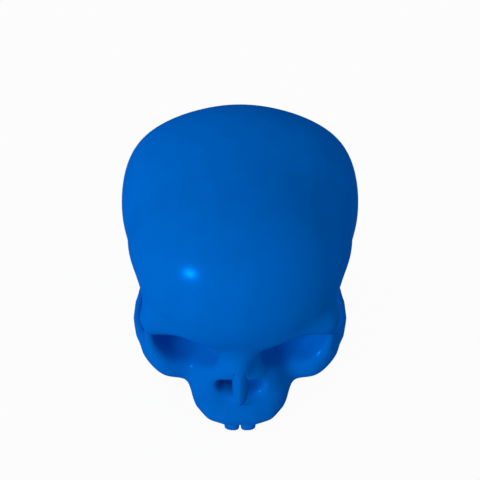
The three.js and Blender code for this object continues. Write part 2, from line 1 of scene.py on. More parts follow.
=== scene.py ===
"""A life-size halloween skull in glossy blue plastic, dressed for its portrait."""

import math

import bmesh
import bpy
import numpy as np
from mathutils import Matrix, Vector


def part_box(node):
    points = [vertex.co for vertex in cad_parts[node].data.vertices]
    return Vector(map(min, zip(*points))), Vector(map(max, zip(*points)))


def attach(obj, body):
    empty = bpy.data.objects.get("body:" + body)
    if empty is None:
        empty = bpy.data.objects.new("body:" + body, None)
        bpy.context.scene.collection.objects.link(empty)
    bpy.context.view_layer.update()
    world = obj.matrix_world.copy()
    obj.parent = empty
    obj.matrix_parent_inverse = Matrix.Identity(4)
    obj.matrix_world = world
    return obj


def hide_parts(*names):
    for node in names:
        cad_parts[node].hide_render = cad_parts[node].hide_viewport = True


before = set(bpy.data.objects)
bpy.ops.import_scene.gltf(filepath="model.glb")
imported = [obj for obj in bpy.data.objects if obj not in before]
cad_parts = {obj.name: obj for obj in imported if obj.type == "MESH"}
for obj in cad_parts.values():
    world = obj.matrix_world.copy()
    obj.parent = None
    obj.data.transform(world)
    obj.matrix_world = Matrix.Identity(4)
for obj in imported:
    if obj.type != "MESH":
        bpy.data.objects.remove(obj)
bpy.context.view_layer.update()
scene = bpy.context.scene

# Camera: over the forehead, looking steeply down at the face. The skull was measured from the middle of its
# head, and the foot plate says how far that lies from the origin here.
HEAD_LENGTH = 0.186
PLATE_FROM_HEAD_MIDDLE = 0.15 * HEAD_LENGTH
plate_low, plate_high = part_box("foot_plate")
head_middle_y = (plate_low[1] + plate_high[1]) / 2 - PLATE_FROM_HEAD_MIDDLE
CAMERA_PLACE = (0.0, head_middle_y - 0.2398, 0.3513)
CAMERA_DOWN = math.radians(49.7)
CAMERA_ANGLE = math.radians(45)
CAMERA_NEAR = 0.01

camera_data = bpy.data.cameras.new("portrait_camera")
camera_data.sensor_fit = "HORIZONTAL"
camera_data.angle = CAMERA_ANGLE
camera_data.clip_start = CAMERA_NEAR
camera = bpy.data.objects.new("portrait_camera", camera_data)
camera.location = CAMERA_PLACE
camera.rotation_euler = (math.pi / 2 - CAMERA_DOWN, 0, 0)
scene.collection.objects.link(camera)
scene.camera = camera
scene.view_settings.view_transform = "Standard"


# Floor and light: a pale table that runs out of view, one key light from the left of the face and a plain white
# room. The eye, and anything glossy or clear, sees table and room near white, and the table keeps the shadow.
FLOOR_SIZE = 12.0
FLOOR_GREY = (0.6, 0.6, 0.6, 1)
FLOOR_GLOW = 0.95
ROOM_STRENGTH = 0.48
KEY_FROM = (-0.73, -0.53, 0.44)
KEY_ANGLE = math.radians(5)
KEY_OPEN, KEY_SHADED = 1.6, 0.35


def seen_share(tree):
    """One for rays that show the surroundings to the eye, in gloss or through glass, and nought for light."""
    path = tree.nodes.new("ShaderNodeLightPath")
    share = path.outputs["Is Camera Ray"]
    for kind in ("Is Glossy Ray", "Is Transmission Ray"):
        either = tree.nodes.new("ShaderNodeMath")
        either.operation = "MAXIMUM"
        tree.links.new(share, either.inputs[0])
        tree.links.new(path.outputs[kind], either.inputs[1])
        share = either.outputs[0]
    return share


floor_mesh = bmesh.new()
bmesh.ops.create_grid(floor_mesh, x_segments=1, y_segments=1, size=FLOOR_SIZE / 2)
floor_data = bpy.data.meshes.new("floor")
floor_mesh.to_mesh(floor_data)
floor_mesh.free()
floor = bpy.data.objects.new("floor", floor_data)
scene.collection.objects.link(floor)

floor_paint = bpy.data.materials.new("table_white")
floor_paint.use_nodes = True
tree = floor_paint.node_tree
tree.nodes.clear()
output = tree.nodes.new("ShaderNodeOutputMaterial")
diffuse = tree.nodes.new("ShaderNodeBsdfDiffuse")
diffuse.inputs["Color"].default_value = FLOOR_GREY
glow = tree.nodes.new("ShaderNodeEmission")
glow.inputs["Color"].default_value = (1, 1, 1, 1)
share = tree.nodes.new("ShaderNodeMath")
share.operation = "MULTIPLY"
share.inputs[1].default_value = FLOOR_GLOW
mix = tree.nodes.new("ShaderNodeMixShader")
tree.links.new(seen_share(tree), share.inputs[0])
tree.links.new(share.outputs[0], mix.inputs[0])
tree.links.new(diffuse.outputs[0], mix.inputs[1])
tree.links.new(glow.outputs[0], mix.inputs[2])
tree.links.new(mix.outputs[0], output.inputs["Surface"])
floor_data.materials.append(floor_paint)

room = bpy.data.worlds.new("white_room")
scene.world = room
room.use_nodes = True
tree = room.node_tree
tree.nodes.clear()
output = tree.nodes.new("ShaderNodeOutputWorld")
background = tree.nodes.new("ShaderNodeBackground")
background.inputs["Color"].default_value = (1, 1, 1, 1)
strength = tree.nodes.new("ShaderNodeMix")
strength.inputs["A"].default_value = ROOM_STRENGTH
strength.inputs["B"].default_value = 1.0
tree.links.new(seen_share(tree), strength.inputs["Factor"])
tree.links.new(strength.outputs["Result"], background.inputs["Strength"])
tree.links.new(background.outputs[0], output.inputs["Surface"])

# Most of the key light reaches into the hollows, and the rest of it casts the shadows.
for name, energy, has_shadow in (("key_light_open", KEY_OPEN, False), ("key_light_shaded", KEY_SHADED, True)):
    lamp_data = bpy.data.lights.new(name, "SUN")
    lamp_data.energy = energy
    lamp_data.angle = KEY_ANGLE
    lamp_data.use_shadow = has_shadow
    lamp = bpy.data.objects.new(name, lamp_data)
    lamp.rotation_euler = Vector(KEY_FROM).to_track_quat("Z", "Y").to_euler()
    scene.collection.objects.link(lamp)


# Front shell: forehead, eye sockets, cheekbones and upper jaw, one hollow moulding in glossy blue plastic. The
# mould was cut to rounded forms that run into each other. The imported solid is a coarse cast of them, so a copy
# is divided finer, and every point of its skin is drawn onto the forms themselves.
HEAD_WIDTH, HEAD_HEIGHT = 0.146, 0.143
MERGE_GAP = 2e-6
TINY = 1e-9

# A facet of the cast is skin if its corners and its middle lie this near the forms, and if it faces as they do.
SKIN_SLACK, FACET_SLACK = 0.0012, 0.002
SKIN_FACING = 0.75
QUAD_BEND, QUAD_SHAPE = 0.7, 0.9
SKIN_LEVELS = 2
SHARP_ANGLE = 0.6

# How the points of the skin slide onto the forms, and what keeps them in their cuts.
PROBE = 0.00005
SLIDES = 6
SLIDE_STEEPNESS = 0.2
SAME_CUT = 0.98
FOLD_LIMIT, FOLD_PASSES = 0.1, 3


def in_head(shares):
    """A place from its shares: aside in half widths, back from the head's middle in lengths, up in heights."""
    return np.array(shares) * (HEAD_WIDTH / 2, HEAD_LENGTH, HEAD_HEIGHT)


def ovoid(centre_shares, radius_shares, turn=0.0):
    """The distance to an ovoid, which may be turned about the upright."""
    centre, radii = in_head(centre_shares), in_head(radius_shares)
    cos, sin = math.cos(turn), math.sin(turn)

    def distance(points):
        off = points - centre
        turned = np.stack((off[:, 0] * cos + off[:, 1] * sin, off[:, 1] * cos - off[:, 0] * sin, off[:, 2]), 1)
        unit = turned / radii
        reach = np.linalg.norm(unit, axis=1)
        return reach * (reach - 1) / np.maximum(np.linalg.norm(unit / radii, axis=1), TINY)

    return distance


def limb_between(start, end, start_radius, end_radius):
    """The distance to a round limb that swells or thins from its start to its end."""
    way = end - start

    def distance(points):
        off = points - start
        along = np.clip(off @ way / (way @ way), 0, 1)
        radius = start_radius + (end_radius - start_radius) * along
        return np.linalg.norm(off - along[:, None] * way, axis=1) - radius

    return distance


def limb(start_shares, end_shares, start_radius, end_radius=None):
    """The same between two places in the head."""
    return limb_between(in_head(start_shares), in_head(end_shares), start_radius, end_radius or start_radius)


def chain(points, start_radius, end_radius):
    """Limbs joined end to end."""
    radii = np.linspace(start_radius, end_radius, len(points))
    parts = [limb_between(*points[n : n + 2], *radii[n : n + 2]) for n in range(len(points) - 1)]
    return lambda spots: np.min([part(spots) for part in parts], axis=0)


def blend(a, b, radius):
    """Two distances joined with a fillet."""
    overlap = np.maximum(radius - np.abs(a - b), 0) / radius
    return np.minimum(a, b) - overlap * overlap * radius / 4


def carve(a, b, radius):
    """The second distance taken out of the first with a rounded edge."""
    return -blend(-a, b, radius)


def even_points(curve, count):
    """Points at even spacing along a curve that is given at many close spots."""
    length = np.concatenate(([0], np.cumsum(np.linalg.norm(np.diff(curve, axis=0), axis=1))))
    return np.stack([np.interp(np.linspace(0, length[-1], count + 1), length, axis) for axis in curve.T], 1)


# The forms of the mould, in shares of the head's width, length and height, with their fillets.
BRAIN_BLEND, BASE_BLEND, FACE_BLEND, BONE_BLEND, JAW_BLEND = 0.020, 0.018, 0.012, 0.010, 0.015
NOSE_EDGE, SOCKET_EDGE = 0.004, 0.005
braincase_forms = [
    ((-0.3, 0.13, 0.585), (0.72, 0.28, 0.335), BRAIN_BLEND),
    ((0.3, 0.13, 0.585), (0.72, 0.28, 0.335), BRAIN_BLEND),
    ((0, 0.017, 0.601), (0.9, 0.438, 0.383), BRAIN_BLEND),
    ((0, -0.21, 0.67), (0.75, 0.243, 0.29), BRAIN_BLEND),
    ((0, 0.235, 0.42), (0.66, 0.235, 0.28), BRAIN_BLEND),
    ((0, 0.05, 0.385), (0.767, 0.3, 0.285), BASE_BLEND),
    ((0, 0.15, 0.155), (0.63, 0.25, 0.2), BASE_BLEND),
]
braincase_bodies = [(ovoid(centre, radii), fillet) for centre, radii, fillet in braincase_forms]
rim = limb((0.66, -0.33, 0.52), (0.68, -0.335, 0.33), 0.0075)
temple = ovoid((0.48, -0.255, 0.54), (0.2, 0.115, 0.2))
cheek = ovoid((0.54, -0.34, 0.26), (0.19, 0.065, 0.11))
jaw_body = ovoid((0, -0.325, 0.225), (0.42, 0.16, 0.18))
nose_bridge = limb((0, -0.355, 0.57), (0, -0.447, 0.4), 0.0055, 0.006)
nose_tip = limb((0, -0.447, 0.4), (0.07, -0.42, 0.34), 0.006)
nose_flank = limb((0.08, -0.33, 0.54), (0.115, -0.395, 0.36), 0.0065, 0.009)
nose_wing = limb((0.15, -0.375, 0.35), (0.25, -0.425, 0.2), 0.0085, 0.008)
pterygoid = ovoid((0, -0.19, 0.28), (0.47, 0.215, 0.125))
mastoid = ovoid((0.7, 0.045, 0.16), (0.14, 0.07, 0.135))
eye_socket = ovoid((0.45, -0.385, 0.43), (0.235, 0.13, 0.125), turn=0.15)
nose_opening = ovoid((0, -0.48, 0.275), (0.185, 0.13, 0.055))
palate = ovoid((0, -0.34, 0.03), (0.25, 0.13, 0.1))
brow = limb((0.2, -0.383, 0.56), (0.63, -0.345, 0.54), 0.0065)
nose_sill = limb((0.13, -0.445, 0.2), (0, -0.478, 0.21), 0.004)

# The cheek arch is a leaning band between a thin upper edge and a thicker foot, along a smooth curve.
ARCH_FOOT_RADIUS, ARCH_EDGE_RADIUS = 0.0044, 0.0026
ARCH_LEAN, ARCH_DROP = 0.004, 0.007
ARCH_LIMBS, KNOT_STEPS = 7, 50
arch_shares = [
    (0.62, -0.36, 0.265),
    (0.79, -0.3, 0.27),
    (0.878, -0.2, 0.28),
    (0.855, -0.1, 0.29),
    (0.76, 0.02, 0.3),
]
knots = np.array([in_head(shares) for shares in arch_shares])
knots = np.vstack((2 * knots[0] - knots[1], knots, 2 * knots[-1] - knots[-2]))
stretches = []
for before, start, end, after in zip(knots, knots[1:], knots[2:], knots[3:]):
    wait, span, rest = (np.linalg.norm(step) ** 0.5 for step in (start - before, end - start, after - end))
    out = (start - before) / wait - (end - before) / (wait + span) + (end - start) / span
    back = (end - start) / span - (after - start) / (span + rest) + (after - end) / rest
    for t in np.linspace(0, 1, KNOT_STEPS, endpoint=False):
        bend = -3 * start + 3 * end - 2 * out * span - back * span
        twist = 2 * start - 2 * end + out * span + back * span
        stretches.append(start + out * span * t + bend * t * t + twist * t**3)
arch_edge_points = even_points(np.array(stretches + [knots[-2]]), ARCH_LIMBS)
arch_edge = chain(arch_edge_points, ARCH_FOOT_RADIUS, ARCH_EDGE_RADIUS)
arch_foot = chain(arch_edge_points - (ARCH_LEAN, 0, ARCH_DROP), ARCH_FOOT_RADIUS, ARCH_FOOT_RADIUS)

# The tooth ridge of the jaw follows the dental arch, as a curve with its middle at the front teeth.
ARCH_FRONT = -0.485 * HEAD_LENGTH
HALF_ARCH_WIDTH, ARCH_DEPTH = 0.023, 0.044
RIDGE_RADIUS, RIDGE_HEIGHT = 0.0082, 0.0147
RIDGE_LIMBS, RIDGE_STEPS = 8, 200
t = np.linspace(0, 1, RIDGE_STEPS)[:, None]
corners = np.array([(0, 0), (0.94, 0), (1, 0.22), (1, 1)]) * (HALF_ARCH_WIDTH, ARCH_DEPTH) + (0, ARCH_FRONT)
weights = [(1 - t) ** 3, 3 * t * (1 - t) ** 2, 3 * t * t * (1 - t), t**3]
dental_arch = sum(weight * corner for weight, corner in zip(weights, corners))
ridge_points = np.insert(even_points(dental_arch, RIDGE_LIMBS), 2, RIDGE_HEIGHT, axis=1)
ridge = chain(ridge_points, RIDGE_RADIUS, RIDGE_RADIUS)


def skull(places):
    """How far each place lies outside the skin of the head."""
    signed = places - (0, head_middle_y, 0)
    spots = signed.copy()
    spots[:, 0] = np.abs(spots[:, 0])
    whole = braincase_bodies[0][0](signed)
    for body, fillet in braincase_bodies[1:]:
        whole = blend(whole, body(signed), fillet)
    side = blend(blend(rim(spots), temple(spots), BONE_BLEND), cheek(spots), BONE_BLEND)
    side = blend(side, blend(arch_edge(spots), arch_foot(spots), BONE_BLEND), BONE_BLEND)
    flank = np.minimum(nose_flank(spots), nose_wing(spots))
    nose = blend(np.minimum(nose_bridge(spots), nose_tip(spots)), flank, BONE_BLEND)
    jaw = blend(blend(jaw_body(spots), ridge(spots), JAW_BLEND), nose, BONE_BLEND)
    whole = blend(whole, blend(jaw, side, FACE_BLEND), FACE_BLEND)
    whole = blend(whole, pterygoid(spots), FACE_BLEND)
    whole = blend(whole, mastoid(spots), BONE_BLEND)
    whole = blend(carve(whole, eye_socket(spots), SOCKET_EDGE), brow(spots), BONE_BLEND)
    whole = blend(carve(whole, nose_opening(spots), NOSE_EDGE), nose_sill(spots), NOSE_EDGE)
    return carve(whole, palate(spots), NOSE_EDGE)


# Where the mould maker's hand left the skin a little fuller or flatter than the forms: the middle of each
# stroke, how far it reaches and how high it stands.
HAND_STROKES = [
    ((0.82, 0.21, 0.81), 0.021, 0.0018),
    ((1.0, 0.07, 0.68), 0.018, -0.0008),
    ((0.87, -0.15, 0.66), 0.013, 0.0013),
    ((0.79, -0.29, 0.65), 0.014, -0.0008),
    ((0.92, -0.15, 0.3), 0.016, -0.0006),
    ((0.86, -0.28, 0.48), 0.013, -0.0036),
    ((0, -0.12, 0.985), 0.024, 0.0006),
    ((0.37, -0.45, 0.15), 0.008, 0.0009),
    ((0.27, -0.49, 0.1), 0.01, 0.001),
    ((0.1, -0.52, 0.09), 0.011, 0.0009),
    ((0, -0.4, 0.49), 0.007, 0.0006),
    ((0.2, -0.38, 0.46), 0.007, -0.0028),
    ((0.21, -0.4, 0.38), 0.007, -0.0028),
]


def hand_strokes(places):
    """How far the finished skin stands off the forms at each place."""
    spots = places - (0, head_middle_y, 0)
    spots[:, 0] = np.abs(spots[:, 0])
    height = np.zeros(len(spots))
    for centre, reach, rise in HAND_STROKES:
        height += rise * np.exp(-np.sum((spots - in_head(centre)) ** 2, 1) / reach**2)
    return height


def skull_slope(places):
    """Which way the distance to the skin grows fastest at each place, and how fast."""
    steps = np.eye(3) * PROBE
    return np.stack([(skull(places + step) - skull(places - step)) / (2 * PROBE) for step in steps], 1)


def merged_copy(node):
    """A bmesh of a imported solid, with its loose triangles joined."""
    work = bmesh.new()
    work.from_mesh(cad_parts[node].data)
    bmesh.ops.remove_doubles(work, verts=work.verts, dist=MERGE_GAP)
    for face in work.faces:
        face.smooth = True
    return work


def finish_piece(work, name, node, materials):
    """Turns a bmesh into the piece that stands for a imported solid."""
    data = bpy.data.meshes.new(name)
    work.to_mesh(data)
    work.free()
    for material in materials:
        data.materials.append(material)
    piece = bpy.data.objects.new(name, data)
    scene.collection.objects.link(piece)
    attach(piece, "root")
    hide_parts(node)
    return piece


def shell_piece(node, name):
    """A shell with its skin divided finer and drawn onto the forms of the mould."""
    work = merged_copy(node)
    work.normal_update()
    places = np.array([vertex.co for vertex in work.verts])
    slack = np.abs(skull(places)) < SKIN_SLACK
    middles = np.array([face.calc_center_median() for face in work.faces])
    near = np.abs(skull(middles)) < FACET_SLACK
    slopes = skull_slope(middles)
    slopes /= np.linalg.norm(slopes, axis=1)[:, None]
    faces_out = np.einsum("ij,ij->i", slopes, np.array([face.normal for face in work.faces]))
    for face, close, facing in zip(work.faces, near, faces_out):
        is_skin = close and facing > SKIN_FACING and all(slack[vertex.index] for vertex in face.verts)
        face.material_index = 0 if is_skin else 1
    skin = [face for face in work.faces if face.material_index == 0]
    bmesh.ops.join_triangles(work, faces=skin, angle_face_threshold=QUAD_BEND, angle_shape_threshold=QUAD_SHAPE)
    for _ in range(SKIN_LEVELS):
        edges = [edge for edge in work.edges if any(face.material_index == 0 for face in edge.link_faces)]
        bmesh.ops.subdivide_edges(work, edges=edges, cuts=1, use_grid_fill=True)
    work.normal_update()

    # A point on the edge of a cut may only slide within the cut, and one where two cuts meet stays put.
    work.verts.index_update()
    held = np.zeros((len(work.verts), 3))
    fixed = np.zeros(len(work.verts), bool)
    moving = np.zeros(len(work.verts), bool)
    for vertex in work.verts:
        cuts = [face.normal for face in vertex.link_faces if face.material_index == 1]
        moving[vertex.index] = len(cuts) < len(vertex.link_faces)
        if cuts and moving[vertex.index]:
            held[vertex.index] = cuts[0]
            fixed[vertex.index] = any(cuts[0].dot(other) < SAME_CUT for other in cuts[1:])
    movers = np.nonzero(moving & ~fixed)[0]
    cast_places = np.array([vertex.co for vertex in work.verts])
    cast_normals = [face.normal.copy() for face in work.faces]
    places = cast_places.copy()
    for _ in range(SLIDES):
        slope = skull_slope(places[movers])
        slope -= np.sum(slope * held[movers], 1)[:, None] * held[movers]
        off = skull(places[movers]) - hand_strokes(places[movers])
        steepness = np.sum(slope * slope, 1)
        step = np.where(steepness > SLIDE_STEEPNESS, off / np.maximum(steepness, SLIDE_STEEPNESS), 0)
        places[movers] -= np.clip(step, -SKIN_SLACK, SKIN_SLACK)[:, None] * slope
    for vertex in work.verts:
        vertex.co = places[vertex.index]
    work.normal_update()

    # Where the skin would fold over itself, at the sharp ends of a cut, its points stay as they were cast.
    for _ in range(FOLD_PASSES):
        for face, cast_normal in zip(work.faces, cast_normals):
            if face.normal.dot(cast_normal) < FOLD_LIMIT:
                for vertex in face.verts:
                    vertex.co = cast_places[vertex.index]
        work.normal_update()
    for edge in work.edges:
        kinds = {face.material_index for face in edge.link_faces}
        edge.smooth = kinds == {0} or edge.calc_face_angle(0) < SHARP_ANGLE
    finish_piece(work, name, node, [gloss_blue, inner_blue])


# The finish of the mouldings. The plastic is dyed through: one strong blue with faint flow marks, a skin that
# is glossy but not quite flat, hairline scuffs from the box, and edges rubbed a little paler. A little pearl in
# the dye gives all the gloss, so that it is blue too.
PLASTIC_BLUE = (0.0, 0.123, 0.548, 1)
WORN_BLUE = (0.012, 0.19, 0.68, 1)
SHEEN_BLUE = (0.02, 0.25, 0.7, 1)
SHEEN = 0.0
PEARL = 0.055
DARK_TONE, LIGHT_TONE = 0.93, 1.06
RUB_DULLS, HAIR_DULLS = 0.15, 0.22
BREATH = (30, 3)
LEAST_ROUGH, MOST_ROUGH = 0.9, 1.15
BUMP_STRENGTH = 0.6
MIDDLE_RANGE = (0.3, 0.7)


def effect_group(name, inputs, outputs):
    """An empty shader node group with named inputs and outputs."""
    tree = bpy.data.node_groups.new(name, "ShaderNodeTree")
    for label, kind, value in inputs:
        tree.interface.new_socket(label, in_out="INPUT", socket_type=kind).default_value = value
    for label, kind in outputs:
        tree.interface.new_socket(label, in_out="OUTPUT", socket_type=kind)
    return tree, tree.nodes.new("NodeGroupInput"), tree.nodes.new("NodeGroupOutput")


def add_noise(tree, scale, detail, vector):
    """A noise with this many grains to the metre, broken up this finely."""
    noise = tree.nodes.new("ShaderNodeTexNoise")
    noise.inputs["Scale"].default_value = scale
    noise.inputs["Detail"].default_value = detail
    tree.links.new(vector, noise.inputs["Vector"])
    return noise.outputs["Fac"]


def add_ramp(tree, value, low, high, to_low=0.0, to_high=1.0):
    """A value carried from one range onto another, and held at its ends."""
    ramp = tree.nodes.new("ShaderNodeMapRange")
    for socket, number in zip(list(ramp.inputs)[1:5], (low, high, to_low, to_high)):
        socket.default_value = number
    tree.links.new(value, ramp.inputs["Value"])
    return ramp.outputs["Result"]


def add_math(tree, operation, a, b):
    """A sum or product of sockets and plain numbers."""
    node = tree.nodes.new("ShaderNodeMath")
    node.operation = operation
    for socket, value in zip(node.inputs, (a, b)):
        if isinstance(value, (int, float)):
            socket.default_value = value
        else:
            tree.links.new(value, socket)
    return node.outputs[0]


def add_mix(tree, share, a, b):
    """Two colours mixed by a share."""
    node = tree.nodes.new("ShaderNodeMix")
    node.data_type = "RGBA"
    for socket, value in ((node.inputs["Factor"], share), (node.inputs["A"], a), (node.inputs["B"], b)):
        if isinstance(value, (int, float, tuple)):
            socket.default_value = value
        else:
            tree.links.new(value, socket)
    return node.outputs["Result"]


# Flow marks: broad, faint clouds and long streaks where the melt ran through the mould.
CLOUDS = (18, 3)
STREAK_STRETCH, STREAK_DETAIL = (90, 90, 14), 4
flow_marks, group_in, group_out = effect_group(
    "flow_marks",
    [("Vector", "NodeSocketVector", (0, 0, 0)), ("Strength", "NodeSocketFloat", 0.1)],
    [("Mask", "NodeSocketFloat")],
)
clouds = add_noise(flow_marks, *CLOUDS, group_in.outputs["Vector"])
stretch = flow_marks.nodes.new("ShaderNodeMapping")
stretch.inputs["Scale"].default_value = STREAK_STRETCH
flow_marks.links.new(group_in.outputs["Vector"], stretch.inputs["Vector"])
streaks = add_noise(flow_marks, 1, STREAK_DETAIL, stretch.outputs["Vector"])
marks = add_math(flow_marks, "MULTIPLY", add_math(flow_marks, "ADD", clouds, streaks), 0.5)
marks = add_ramp(flow_marks, marks, *MIDDLE_RANGE)
marks = add_math(flow_marks, "MULTIPLY", marks, group_in.outputs["Strength"])
flow_marks.links.new(marks, group_out.inputs["Mask"])

# Moulded skin: the faint waviness of a glossy moulding, with a fine grain over it.
moulded_skin, group_in, group_out = effect_group(
    "moulded_skin",
    [
        ("Vector", "NodeSocketVector", (0, 0, 0)),
        ("Wave Size", "NodeSocketFloat", 120.0),
        ("Grain Size", "NodeSocketFloat", 1800.0),
        ("Grain Share", "NodeSocketFloat", 0.2),
    ],
    [("Height", "NodeSocketFloat")],
)
wave = moulded_skin.nodes.new("ShaderNodeTexNoise")
wave.inputs["Detail"].default_value = 1
grain = moulded_skin.nodes.new("ShaderNodeTexNoise")
grain.inputs["Detail"].default_value = 2
for texture, size in ((wave, "Wave Size"), (grain, "Grain Size")):
    moulded_skin.links.new(group_in.outputs["Vector"], texture.inputs["Vector"])
    moulded_skin.links.new(group_in.outputs[size], texture.inputs["Scale"])
grain_height = add_math(moulded_skin, "MULTIPLY", grain.outputs["Fac"], group_in.outputs["Grain Share"])
skin_height = add_math(moulded_skin, "ADD", wave.outputs["Fac"], grain_height)
moulded_skin.links.new(skin_height, group_out.inputs["Height"])

# Scuffs: thin hairlines in two directions, only here and there.
HAIR_LAYS = (((0.5, 0.3, 0.9), (30, 30, 2600)), ((1.2, -0.4, 0.2), (2400, 40, 40)))
HAIR_RANGE = (0.66, 0.72)
PATCHES, PATCH_RANGE = (26, 2), (0.5, 0.66)
scuffs, group_in, group_out = effect_group(
    "scuffs",
    [("Vector", "NodeSocketVector", (0, 0, 0)), ("Amount", "NodeSocketFloat", 0.5)],
    [("Mask", "NodeSocketFloat")],
)
hairs = []
for turn, stretch_scale in HAIR_LAYS:
    lay = scuffs.nodes.new("ShaderNodeMapping")
    lay.inputs["Rotation"].default_value = turn
    lay.inputs["Scale"].default_value = stretch_scale
    scuffs.links.new(group_in.outputs["Vector"], lay.inputs["Vector"])
    hairs.append(add_ramp(scuffs, add_noise(scuffs, 1, 1, lay.outputs["Vector"]), *HAIR_RANGE))
patches = add_ramp(scuffs, add_noise(scuffs, *PATCHES, group_in.outputs["Vector"]), *PATCH_RANGE)
hair_mask = add_math(scuffs, "MULTIPLY", add_math(scuffs, "MAXIMUM", *hairs), patches)
hair_mask = add_math(scuffs, "MULTIPLY", hair_mask, group_in.outputs["Amount"])
scuffs.links.new(hair_mask, group_out.inputs["Mask"])

# Edge wear: sharp outer edges rubbed paler, broken up by a noise.
EDGE_RANGE = (0.53, 0.62)
RUBS, RUB_RANGE = (140, 3), (0.4, 0.65)
edge_wear, group_in, group_out = effect_group(
    "edge_wear",
    [("Vector", "NodeSocketVector", (0, 0, 0)), ("Amount", "NodeSocketFloat", 0.5)],
    [("Mask", "NodeSocketFloat")],
)
geometry = edge_wear.nodes.new("ShaderNodeNewGeometry")
worn = add_ramp(edge_wear, geometry.outputs["Pointiness"], *EDGE_RANGE)
rubbed = add_ramp(edge_wear, add_noise(edge_wear, *RUBS, group_in.outputs["Vector"]), *RUB_RANGE)
wear = add_math(edge_wear, "MULTIPLY", worn, rubbed)
wear = add_math(edge_wear, "MULTIPLY", wear, group_in.outputs["Amount"])
edge_wear.links.new(wear, group_out.inputs["Mask"])


def place_group(tree, group, vector, **values):
    """An effect group in a material, with its own values."""
    node = tree.nodes.new("ShaderNodeGroup")
    node.node_tree = group
    tree.links.new(vector, node.inputs["Vector"])
    for label, value in values.items():
        node.inputs[label.replace("_", " ")].default_value = value
    return node.outputs[0]


def moulded_blue(name, roughness, wave_depth, grain_share=0.15, wear=0.4, scuffing=0.4, shade=1.0):
    """The dyed plastic, polished or rough as the mould left it."""
    paint = bpy.data.materials.new(name)
    paint.use_nodes = True
    tree = paint.node_tree
    shader = tree.nodes["Principled BSDF"]
    where = tree.nodes.new("ShaderNodeTexCoord").outputs["Object"]
    # A shade below one darkens the whole blue, as painted shade.
    dark = tuple(value * shade * DARK_TONE for value in PLASTIC_BLUE[:3]) + (1,)
    light = tuple(value * shade * LIGHT_TONE for value in PLASTIC_BLUE[:3]) + (1,)
    tone = add_mix(tree, place_group(tree, flow_marks, where, Strength=1.0), dark, light)
    rub = place_group(tree, edge_wear, where, Amount=wear)
    hair = place_group(tree, scuffs, where, Amount=scuffing)
    tone = add_mix(tree, rub, tone, WORN_BLUE)
    tree.links.new(tone, shader.inputs["Base Color"])
    rub_dull = add_math(tree, "MULTIPLY", rub, RUB_DULLS)
    dull = add_math(tree, "ADD", rub_dull, add_math(tree, "MULTIPLY", hair, HAIR_DULLS))
    breath = add_noise(tree, *BREATH, where)
    breath = add_ramp(tree, breath, *MIDDLE_RANGE, roughness * LEAST_ROUGH, roughness * MOST_ROUGH)
    tree.links.new(add_math(tree, "ADD", breath, dull), shader.inputs["Roughness"])
    bump = tree.nodes.new("ShaderNodeBump")
    bump.inputs["Strength"].default_value = BUMP_STRENGTH
    bump.inputs["Distance"].default_value = wave_depth
    tree.links.new(place_group(tree, moulded_skin, where, Grain_Share=grain_share), bump.inputs["Height"])
    tree.links.new(bump.outputs["Normal"], shader.inputs["Normal"])
    shader.inputs["Specular IOR Level"].default_value = SHEEN
    shader.inputs["Metallic"].default_value = PEARL
    shader.inputs["Specular Tint"].default_value = SHEEN_BLUE
    return paint


gloss_blue = moulded_blue("gloss_blue", roughness=0.24, wave_depth=0.00002)
# The inside of the shells and their cut faces are rougher, and their blue is painted a tenth darker as painted
# shade in the hollow and along the parting seam.
inner_blue = moulded_blue(
    "inner_blue", roughness=0.42, wave_depth=0.00008, grain_share=0.6, wear=0.2, scuffing=0.1, shade=0.9
)

shell_piece("front_shell", "front_shell_skin")


# Rear shell: the back of the head. Its lip slides into the rebate of the front shell, which leaves a hair-thin
# parting line behind the crown.
shell_piece("rear_shell", "rear_shell_skin")


# Foot plate: a flat oval of the same plastic under the skull base, with four countersunk holes. Its edges are
# broken, and the face that stands on the table is left as the mould's fine grain.
PLATE_EDGE = 0.0005
FLAT_BEND, RIM_BEND = 0.02, 0.5
LEVEL_GAP = 1e-6
FACING_DOWN_OR_UP = 0.999
plate_blue = moulded_blue(
    "plate_blue", roughness=0.36, wave_depth=0.00008, grain_share=0.7, wear=0.6, scuffing=0.8
)

work = merged_copy("foot_plate")
bmesh.ops.dissolve_limit(work, angle_limit=FLAT_BEND, verts=work.verts, edges=work.edges)
rims = [edge for edge in work.edges if edge.is_manifold and edge.calc_face_angle() > RIM_BEND]
rims = [edge for edge in rims if abs(edge.verts[0].co.z - edge.verts[1].co.z) < LEVEL_GAP]
bmesh.ops.bevel(work, geom=rims, offset=PLATE_EDGE, segments=2, profile=0.5, affect="EDGES", material=-1)
work.normal_update()
for face in work.faces:
    face.smooth = abs(face.normal.z) < FACING_DOWN_OR_UP
for edge in work.edges:
    edge.smooth = not edge.is_manifold or edge.calc_face_angle() < SHARP_ANGLE
finish_piece(work, "foot_plate_edged", "foot_plate", [plate_blue])


# Nasal septum: the bar that closes the middle of the nose opening. It seats tightly under the bridge and in the
# sill, so it is drawn out by the play of its seat. Its front comes to a blunt ridge between two flat flanks.
SEAT_PLAY = 0.0005
SEPTUM_HEIGHTS = (0.026, 0.03, 0.036, 0.048, 0.057)
SEPTUM_FULLNESS = (1.4, 1.45, 1.34, 1.11, 1.0)
RIDGE_FACING, RIDGE_NARROWING, RIDGE_RISE = 0.8, 0.3, 0.0006
FACET_BEND, FACET_SHAPE = 0.6, 3.1
CREASE_ANGLE, CREASE = 0.9, 0.6
ROUNDING_LEVELS = 2
tooth_blue = moulded_blue("tooth_blue", roughness=0.22, wave_depth=0.00002, wear=0.5)


def four_sided_copy(node):
    """A bmesh of a packed bar or crown, with the four-sided facets between its rings whole again."""
    work = merged_copy(node)
    bmesh.ops.join_triangles(
        work, faces=work.faces, angle_face_threshold=FACET_BEND, angle_shape_threshold=FACET_SHAPE
    )
    work.normal_update()
    return work


